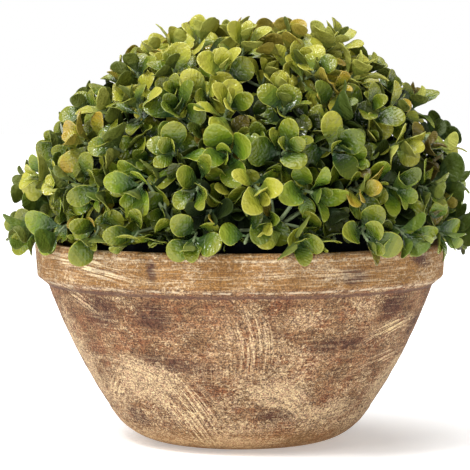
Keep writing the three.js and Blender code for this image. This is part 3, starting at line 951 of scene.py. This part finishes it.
def outline(t):
    """Half the width of a leaf at a share of its length, against half its greatest width."""
    if t <= PETIOLE_SHARE:
        return PETIOLE_WIDTH
    u = (t - PETIOLE_SHARE) / (1 - PETIOLE_SHARE)
    if u < WIDEST:
        rise = sin(pi / 2 * u / WIDEST) ** SWELL_POWER
        return PETIOLE_WIDTH + (1 - PETIOLE_WIDTH) * rise
    v = (u - WIDEST) / (1 - WIDEST)
    return max(sqrt(max(1 - v ** TIP_POWER, 0)), TIP_WIDTH)


def leaf_template():
    """One leaf's grid: where each vertex is across, along and through it, its faces and their zones."""
    rows, columns = len(LEAF_ROWS), len(LEAF_COLUMNS)
    along, across = np.meshgrid(LEAF_ROWS, LEAF_COLUMNS, indexing="ij")
    inner = (slice(1, -1), slice(1, -1))
    top = np.arange(rows * columns).reshape(rows, columns)
    # The back shares the rim's vertices, and its own come after all those of the top
    back = top.copy()
    back[inner] = rows * columns + np.arange((rows - 2) * (columns - 2)).reshape(rows - 2, columns - 2)
    side = np.zeros((rows, columns))
    side[inner] = 1
    across, along, side = (np.append(top_values, sign * top_values[inner])
                           for top_values, sign in ((across, 1), (along, 1), (side, -1)))
    quads, zones = [], []
    for i in range(rows - 1):
        for j in range(columns - 1):
            on_rim = j in (0, columns - 2) and i >= RIM_START or i == rows - 2
            below = "petiole" if i < PETIOLE_ROWS else "under_base" if i < BACK_BASE_ROWS else "under"
            quads.append([top[i, j], top[i, j + 1], top[i + 1, j + 1], top[i + 1, j]])
            quads.append([back[i, j], back[i + 1, j], back[i + 1, j + 1], back[i, j + 1]])
            zones += [ZONE_NUMBERS["rim" if on_rim else ROW_ZONES[i]], ZONE_NUMBERS[below]]
    return {"across": across, "along": along, "side": side, "wide": np.array([outline(t) for t in along]),
            "quads": np.array(quads), "zones": np.array(zones)}


def tone_for(stream, twig):
    """Finer twigs are in the shade of the branches, so many take the deep tones: painted shade. Sprays that
    point to the lit side take a tone paler: painted light.
    """
    shaded = twig["side"] and stream.share() < twig["shaded"]
    tone = stream.choice(SHADE_TONES if shaded else twig["sprig"]["tier"]["tones"])
    if twig["out"].dot(LIT_SIDE_WAY) > LIT_SIDE_NEARNESS:
        return PALER.get(tone, tone)
    return tone


def rosette_leaves(twig, seed):
    """The wished places of one rosette's leaves, in crossed pairs, before they are fitted."""
    stream = Stream(seed)
    spray_tone = tone_for(stream, twig)
    level, up = level_and_up(twig["way"])
    wishes = []
    for j, (below, lean, size) in enumerate(LEAF_PAIRS):
        for half in (0, 180):
            odd_one = stream.share() < ODD_LEAF_CHANCE
            other_tone = tone_for(stream, twig)
            drawn = {key: stream.between(limits) for key, limits in LEAF_VARY.items()}
            wishes.append({
                **drawn,
                "root": twig["tip"] - twig["way"] * below,
                "twig": twig, "level": level, "up": up,
                "turn": twig["turn"] + half + 90 * j + drawn["turn"],
                "lean": lean + drawn["lean"],
                "size": size * drawn["size"] * (FINE_SIZE if twig["side"] else 1),
                "roll": radians(drawn["roll"]),
                "tone": other_tone if odd_one else spray_tone,
            })
    return wishes


def hangs_here(point):
    """Whether a tuft hangs over the rim here. Between the tufts the foam is seen, nearly black with painted
    shade.
    """
    return cos(TUFTS * (atan2(point.x, -point.y) + TUFT_START)) > TUFT_EDGE


def in_free_space(points, pot):
    """Whether all points are over the dome, outside the pot and inside the solids' own reach."""
    for point in points:
        if point.z < pot.height + BARE_HEIGHT and not hangs_here(point):
            return False
        if (point - CROWN_CENTRE).length < DOME_RADIUS + DOME_CLEARANCE:
            return False
        over_rim = point.z > pot.height + POT_CLEARANCE
        if not over_rim and hypot(point.x, point.y) < pot.rim_radius + POT_CLEARANCE:
            return False
        if any(not CAD_LOW[k] < point[k] < CAD_HIGH[k] for k in range(3)):
            return False
    return True


class Blades:
    """The blades placed so far, each as a disc, to keep a new one from cutting through them."""

    def __init__(self, most):
        self.centre = np.zeros((most, 3))
        self.normal = np.zeros((most, 3))
        self.radius = np.zeros(most)
        self.count = 0

    def cuts(self, centre, normal, radius):
        gap = self.centre[:self.count] - centre
        near = np.einsum("ij,ij->i", gap, gap) < (self.radius[:self.count] + radius) ** 2
        if not near.any():
            return False
        gap, other, other_radius = gap[near], self.normal[:self.count][near], self.radius[:self.count][near]
        line = np.cross(normal, other)
        sine = np.linalg.norm(line, axis=1) + 1e-6
        from_this = np.abs(np.einsum("ij,ij->i", gap, other)) / sine
        from_other = np.abs(gap @ normal) / sine
        half = np.sqrt(np.clip(radius ** 2 - from_this ** 2, 0, None))
        other_half = np.sqrt(np.clip(other_radius ** 2 - from_other ** 2, 0, None))
        apart = np.abs(np.einsum("ij,ij->i", gap, line / sine[:, None]))
        return bool(((half > 0) & (other_half > 0) & (apart < half + other_half)).any())

    def keep(self, centre, normal, radius):
        self.centre[self.count], self.normal[self.count], self.radius[self.count] = centre, normal, radius
        self.count += 1


def fitted(wish, settings, blades):
    """One leaf where it finds room, giving way step by step, or nothing."""
    leaf, root, stem = settings.leaf, wish["root"], wish["twig"]["way"]
    for turn, closing, shrink in WAYS_TO_GIVE:
        aside = aimed(wish["level"], wish["up"], radians(wish["turn"] + turn))
        lean = radians(wish["lean"] - closing)
        way = aimed(stem, aside, lean)
        face = aimed(aside, stem, pi - lean)
        across = way.cross(face)
        face, across = aimed(face, across, wish["roll"]), aimed(across, face, -wish["roll"])
        length = leaf.length * wish["size"] * shrink
        width = leaf.width * wish["size"] * wish["width"] * shrink
        middle = root + way * length * BLADE_MIDDLE
        half = across * width / 2
        radius = width / 2 * BLADE_KEEP
        if not in_free_space([middle, root + way * length, middle + half, middle - half], settings.pot):
            continue
        if not blades.cuts(np.array(middle), np.array(face), radius):
            blades.keep(middle, face, radius)
            return {**wish, "way": way, "face": face, "across": across, "length": length,
                    "full_width": width}
    return None


def place_leaves(settings):
    """All leaves, branches' own rosettes first, then those of the finer twigs."""
    _, twigs = grow(settings)
    blades = Blades(len(twigs) * len(LEAF_PAIRS) * 2)
    leaves = []
    for i in sorted(range(len(twigs)), key=lambda i: twigs[i]["side"]):
        leaves += [fitted(wish, settings, blades) for wish in rosette_leaves(twigs[i], FINE_SEED + 31 * i)]
    return [leaf for leaf in leaves if leaf]


def leaf_points(leaves, template, leaf):
    """Vertices of many leaves at once, as an array of leaf, vertex and place."""
    def of_each(key):
        return np.array([entry[key] for entry in leaves], dtype=float)[:, None]

    s, t, side, wide = (template[key][None] for key in ("across", "along", "side", "wide"))
    wide = np.where(t < WIDEST, np.maximum(wide ** of_each("wedge"), PETIOLE_WIDTH), wide)
    length, phase = of_each("length"), of_each("phase")
    scale = length / leaf.length
    x = s * wide * of_each("full_width") / 2
    y = t * length
    # Rounded edge: the outer columns are thinner, and the petiole is nearly round
    thick = leaf.thickness / 2 * np.sqrt(np.clip(1 - s ** 2, 0, 1)) ** 0.6
    z = side * thick - GROOVE * np.exp(-(x / GROOVE_WIDTH) ** 2) * (t > PETIOLE_SHARE)
    z = z + leaf.cup * of_each("cup") * scale * (s * wide) ** 2
    past = np.clip(t - CURL_START, 0, None) / (1 - CURL_START)
    z = z - leaf.curl * of_each("curl") * scale * past ** 2
    z = z + ARCH * np.sin(pi * t) * scale
    z = z + WAVE * of_each("wave") * (s * wide) ** 2 * np.sin(7 * t + phase)
    crinkle = np.sin(2.9 * x / MM * 0.5 + 1.7 * phase) * np.sin(1.1 * y / MM + 2.3 * phase)
    z = z + leaf.crinkle * crinkle * wide
    angle = of_each("twist") * t
    x, z = x * np.cos(angle) - z * np.sin(angle), x * np.sin(angle) + z * np.cos(angle)
    return (of_each("root") + of_each("across") * x[..., None] + of_each("way") * y[..., None]
            + of_each("face") * z[..., None])


def leaf_maps(count, template, leaf):
    """Two maps: each leaf in a cell of its own, top beside back, and the place on the leaf in mm."""
    columns = ceil(sqrt(count / CELL_SHAPE))
    rows = ceil(count / columns)
    corners = template["quads"].ravel()
    x = (template["across"] * template["wide"] * leaf.width / 2)[corners]
    y = (template["along"] * leaf.length)[corners]
    # A leaf's faces are a top one and a back one in turn, each with four corners
    back = np.arange(len(corners)) // 4 % 2
    cell = np.arange(count)[:, None]
    u = ((x / leaf.width * CELL_FILL[0] + 0.5 + back) / 2 + cell % columns) / columns
    v = (y / leaf.length * CELL_FILL[1] + CELL_MARGIN + cell // columns) / rows
    millimetres = np.broadcast_to(np.stack([x, y], axis=-1) / MM, (count, len(corners), 2))
    return {"OFBake": np.stack([u, v], axis=-1), "LeafMillimetres": millimetres}


# Operators

class TOPIARY_OT_pot(bpy.types.Operator):
    """Turns the clay bowl pot with its band, the painted highlights and shade on the band, and its
    hand-worked surface
    """
    bl_idname = "topiary.pot"
    bl_label = "Clay Pot"

    def execute(self, context):
        pot = context.scene.topiary.pot
        wall = bowl_wall(pot, 0, 0, 20, 24)
        inner = bowl_wall(pot, pot.wall, pot.wall, 4, 6)[::-1]
        outside = [
            (0, 0, 0), (BASE_RADIUS * 0.5, 0, 0),
            *[(x, z, 0) for x, z in wall[:-1]],
            (*wall[-1], 0.5 * MM),
            (pot.rim_radius - BAND_TAPER, pot.height - BAND_HEIGHT, 1.2 * MM),
            (pot.rim_radius, pot.height, RIM_ROUNDING),
            (pot.rim_radius - BAND_TAPER - pot.wall, pot.height - RIM_LIP, 1.6 * MM),
        ]
        fine = with_soft_corners(outside, POT_STEP)
        inside = [(*fine[-1], 0), *[(x, z, 0) for x, z in inner], (0, pot.wall, 0)]
        profile = fine + with_soft_corners(inside, POT_INSIDE_STEP)[1:]
        points, faces = turned_surface(profile, POT_SIDES)
        self.work_surface(points[:(len(fine) - 1) * POT_SIDES], pot)
        maps = {"OFBake": self.unrolled(profile)}
        attach(mesh_object("clay_pot", points, faces, [clay_material(pot)], maps=maps), "pot", "pot")
        return {"FINISHED"}

    @staticmethod
    def work_surface(points, pot):
        """Swells 42 mm wide, dents of 7 mm and throwing rings of 1.9 mm, fading out at the flat foot."""
        for point in points:
            standing = min(max((point[2] - 1.5 * MM) / (6 * MM), 0), 1)
            if standing > 0:
                place = Vector(point) / MM
                swell = noise.noise(place / 42)
                dent = noise.noise(place / 7)
                stroke = noise.noise(Vector((place.x / 16, place.y / 16, place.z / 1.9)))
                depth = pot.relief * standing * (swell + 0.45 * dent + 0.35 * stroke)
                point += np.array(Vector((place.x, place.y, 0)).normalized()) * depth

    @staticmethod
    def unrolled(profile):
        """A map of the surface as it unrolls: round it one way, along the profile the other."""
        steps = [hypot(x1 - x0, z1 - z0) for (x0, z0), (x1, z1) in zip(profile, profile[1:])]
        run = np.cumsum([0.0, *steps])
        run /= run[-1]
        k = np.arange(POT_SIDES)
        u0, u1, middle = k / POT_SIDES, (k + 1) / POT_SIDES, (k + 0.5) / POT_SIDES
        v0, v1 = run[1:-2, None], run[2:-1, None]

        def corners(*places):
            """The map's place of each corner of a group of faces, one face after the other."""
            pairs = [np.stack(np.broadcast_arrays(u, v), axis=-1) for u, v in places]
            return np.stack(pairs, axis=-2).reshape(-1, 2)

        return np.concatenate([
            corners((u0, v0), (u1, v0), (u1, v1), (u0, v1)),
            corners((middle, 0.0), (u1, run[1]), (u0, run[1])),
            corners((middle, 1.0), (u0, run[-2]), (u1, run[-2])),
        ])


class TOPIARY_OT_foam(bpy.types.Operator):
    """Makes the crumbly foam in the pot and the foam dome that carries the sprigs"""
    bl_idname = "topiary.foam"
    bl_label = "Foam"

    def execute(self, context):
        settings = context.scene.topiary
        material = foam_material(settings.foam)
        inner = settings.pot.wall + FIT
        shoulder = FILL_TOP - FILL_SHOULDER
        side = [(x, z, 0) for x, z in bowl_wall(settings.pot, inner, inner, 8, 12) if z < shoulder]
        fill = [(0, inner, 0), *side, (side[-1][0], shoulder, 2 * MM),
                (side[-1][0] - FILL_SHOULDER, FILL_TOP, 2 * MM), (0, FILL_TOP, 0)]
        self.foam_piece("floral_foam_fill", fill, 0, material, "foam_fill")
        start = asin((DOME_FOOT - CROWN_CENTRE.z) / DOME_RADIUS)
        shell = arc((0, CROWN_CENTRE.z), DOME_RADIUS, start, pi / 2, 40)[:-1]
        dome = [(0, DOME_FOOT, 0), (shell[0][0], DOME_FOOT, 1 * MM), *[(x, z, 0) for x, z in shell[1:]],
                (0, CROWN_CENTRE.z + DOME_RADIUS, 0)]
        self.foam_piece("floral_foam_dome", dome, CROWN_CENTRE.x, material, "foam_dome")
        return {"FINISHED"}

    @staticmethod
    def foam_piece(name, corners, centre_x, material, node):
        """A lathe with a skin that crumbles inwards only, so that it stays clear of its neighbours."""
        points, faces = turned_surface(with_soft_corners(corners, FOAM_STEP), FOAM_SIDES, centre_x)
        middle = points.mean(axis=0)
        for point in points:
            crumb = abs(noise.noise(Vector(point) / (4 * MM)))
            point += (middle - point) / np.linalg.norm(middle - point) * crumb * FOAM_CRUMB_DEPTH
        attach(mesh_object(name, points, faces, [material]), "foam", node)


class TOPIARY_OT_stem(bpy.types.Operator):
    """Gives the dowel its grain"""
    bl_idname = "topiary.stem"
    bl_label = "Dowel"

    def execute(self, context):
        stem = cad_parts["stem"]
        stem.data.materials.clear()
        stem.data.materials.append(dowel_material(context.scene.topiary.foam))
        return {"FINISHED"}


class TOPIARY_OT_twigs(bpy.types.Operator):
    """Grows the pegs, branches and finer twigs of every sprig, one piece for each tier"""
    bl_idname = "topiary.twigs"
    bl_label = "Twigs"

    def execute(self, context):
        settings = context.scene.topiary
        material = twig_material(settings.twig)
        sprigs, twigs = grow(settings)
        for tier in TIERS:
            members = [sprig for sprig in sprigs if sprig["tier"] is tier]
            limbs = [self.peg(sprig["axis"]) for sprig in members]
            limbs += [twig_line(twig, settings) for twig in twigs if twig["sprig"]["tier"] is tier]
            points, faces = joined([tube(line, radii, settings.twig.sides) for line, radii in limbs])
            made = mesh_object(f"{tier['name']}_twigs", points, faces, [material])
            attach(made, f"{tier['name']}_leaves", *[sprig["name"] for sprig in members])
        return {"FINISHED"}

    @staticmethod
    def peg(axis):
        """A sprig's peg, from its socket in the dome to just over the fork."""
        foot = CROWN_CENTRE + axis * (DOME_RADIUS - PEG_SUNK)
        top = CROWN_CENTRE + axis * (DOME_RADIUS + FORK_LIFT + FORK_COVER)
        return [foot, foot.lerp(top, 0.7), top], [PEG_RADIUS * 0.8, PEG_RADIUS, PEG_RADIUS * 0.7]


class TOPIARY_OT_leaves(bpy.types.Operator):
    """Sets crossed pairs of moulded leaves at every twig's end, one piece for each tier and tone"""
    bl_idname = "topiary.leaves"
    bl_label = "Leaves"

    def execute(self, context):
        settings = context.scene.topiary
        template = leaf_template()
        leaves = place_leaves(settings)
        for tone in LEAF_TONES:
            materials = [leaf_material(tone, zone) for zone in ZONES]
            for tier in TIERS:
                mine = [entry for entry in leaves
                        if entry["tone"] == tone and entry["twig"]["sprig"]["tier"] is tier]
                if mine:
                    self.leaf_piece(tier, tone, mine, template, materials, settings.leaf)
        return {"FINISHED"}

    @staticmethod
    def leaf_piece(tier, tone, leaves, template, materials, leaf):
        points = leaf_points(leaves, template, leaf)
        starts = (np.arange(len(leaves)) * points.shape[1])[:, None, None]
        quads = (template["quads"][None] + starts).reshape(-1, 4)
        zones = np.tile(template["zones"], len(leaves))
        maps = leaf_maps(len(leaves), template, leaf)
        name = f"{tier['name']}_leaves_{tone}"
        made = mesh_object(name, points.reshape(-1, 3), [quads], materials, zones, maps)
        nodes = sorted({entry["twig"]["sprig"]["name"] for entry in leaves})
        attach(made, f"{tier['name']}_leaves", *nodes)


class TOPIARY_OT_stage(bpy.types.Operator):
    """Sets the camera at the photograph's angle, the pale floor and the soft lights"""
    bl_idname = "topiary.stage"
    bl_label = "Stage"

    def execute(self, context):
        stage = context.scene.topiary.stage
        scene = context.scene
        data = bpy.data.cameras.new("camera")
        aim = Vector((stage.aim_side, 0, stage.aim_height))
        scene.camera = self.pointed("camera", data, Vector((0, -stage.distance, stage.eye_height)), aim,
                                    sensor_width=36, lens=stage.lens, clip_start=0.05, clip_end=60)
        self.floor(stage)
        # Two lights as broad and even as large soft boxes, a wide soft box low in front for the pot,
        # and a small one above for the leaves' highlights
        broad = {"angle": stage.spread}
        for name, kind, place, aim, energy, look in (
            ("key", "SUN", KEY_PLACE, Vector(), stage.key, broad),
            ("top", "SUN", TOP_PLACE, Vector(), stage.top, broad),
            ("fill", "AREA", FILL_PLACE, PLANT_MIDDLE, stage.fill, {"shape": "DISK", "size": 0.5}),
            ("gloss", "AREA", GLOSS_PLACE, PLANT_MIDDLE, stage.gloss, {"shape": "DISK", "size": 0.3}),
        ):
            light = bpy.data.lights.new(f"{name}_light", kind)
            self.pointed(light.name, light, place, aim, energy=energy, **look)
        self.surroundings(scene, stage)
        scene.view_settings.view_transform = "Standard"
        return {"FINISHED"}

    @staticmethod
    def pointed(name, data, place, aim, **settings):
        """A camera or light at a place, turned to its aim."""
        for key, value in settings.items():
            setattr(data, key, value)
        made = placed(name, data)
        made.location = place
        made.rotation_euler = (aim - place).to_track_quat("-Z", "Y").to_euler()
        return made

    @staticmethod
    def floor(stage):
        """A wide disc of opal acrylic, faintly uneven, lit a little from below as a light table is."""
        top, under = -0.4 * MM, -30 * MM
        profile = [(0, under), (9, under), (9, top), (8.9, top), (2, top), (0, top)]
        points, faces = turned_surface(profile, 64)
        material, node = new_material("opal_acrylic_light_table")
        blotch = node("TexNoise", {"Vector": in_millimetres(node), "Scale": 0.002})
        shade = [c * 0.985 for c in stage.floor]
        finish(material, {
            "Base Color": node("Mix", {0: blotch, 6: shade, 7: stage.floor}, 2, **OF_COLOURS),
            "Roughness": 0.9,
            "Emission Color": (1, 1, 1),
            "Emission Strength": stage.glow,
        })
        mesh_object("floor", points, faces, [material])

    @staticmethod
    def surroundings(scene, stage):
        """Even white light all round. The camera sees the same white at full strength behind the plant."""
        world = bpy.data.worlds.new("studio")
        scene.world = world
        world.use_nodes = True
        node = partial(add, world.node_tree)
        seen = node("LightPath", output="Is Camera Ray")
        plug(world.node_tree.nodes["Background"], {
            "Color": (1, 1, 1), "Strength": node("MapRange", (seen, 0, 1, stage.ambient, 1.0))})


class TOPIARY_PT_panel(bpy.types.Panel):
    """Lists the pieces in the order in which they are made"""
    bl_idname = "TOPIARY_PT_panel"
    bl_label = "Box Topiary"
    bl_space_type = "VIEW_3D"
    bl_region_type = "UI"
    bl_category = "Topiary"

    def draw(self, context):
        for operator in OPERATORS:
            self.layout.operator(operator.bl_idname)


SETTINGS = (PotSettings, FoamSettings, TwigSettings, LeafSettings, StageSettings, TopiarySettings)
OPERATORS = (TOPIARY_OT_stage, TOPIARY_OT_pot, TOPIARY_OT_foam, TOPIARY_OT_stem, TOPIARY_OT_twigs,
             TOPIARY_OT_leaves)
CLASSES = (*SETTINGS, *OPERATORS, TOPIARY_PT_panel)


def register():
    for each in CLASSES:
        bpy.utils.register_class(each)
    bpy.types.Scene.topiary = PointerProperty(type=TopiarySettings)


def unregister():
    del bpy.types.Scene.topiary
    for each in reversed(CLASSES):
        bpy.utils.unregister_class(each)


def main():
    register()
    bpy.ops.topiary.stage()
    bpy.ops.topiary.pot()
    bpy.ops.topiary.foam()
    bpy.ops.topiary.stem()
    bpy.ops.topiary.twigs()
    bpy.ops.topiary.leaves()


if __name__ == "__main__":
    main()
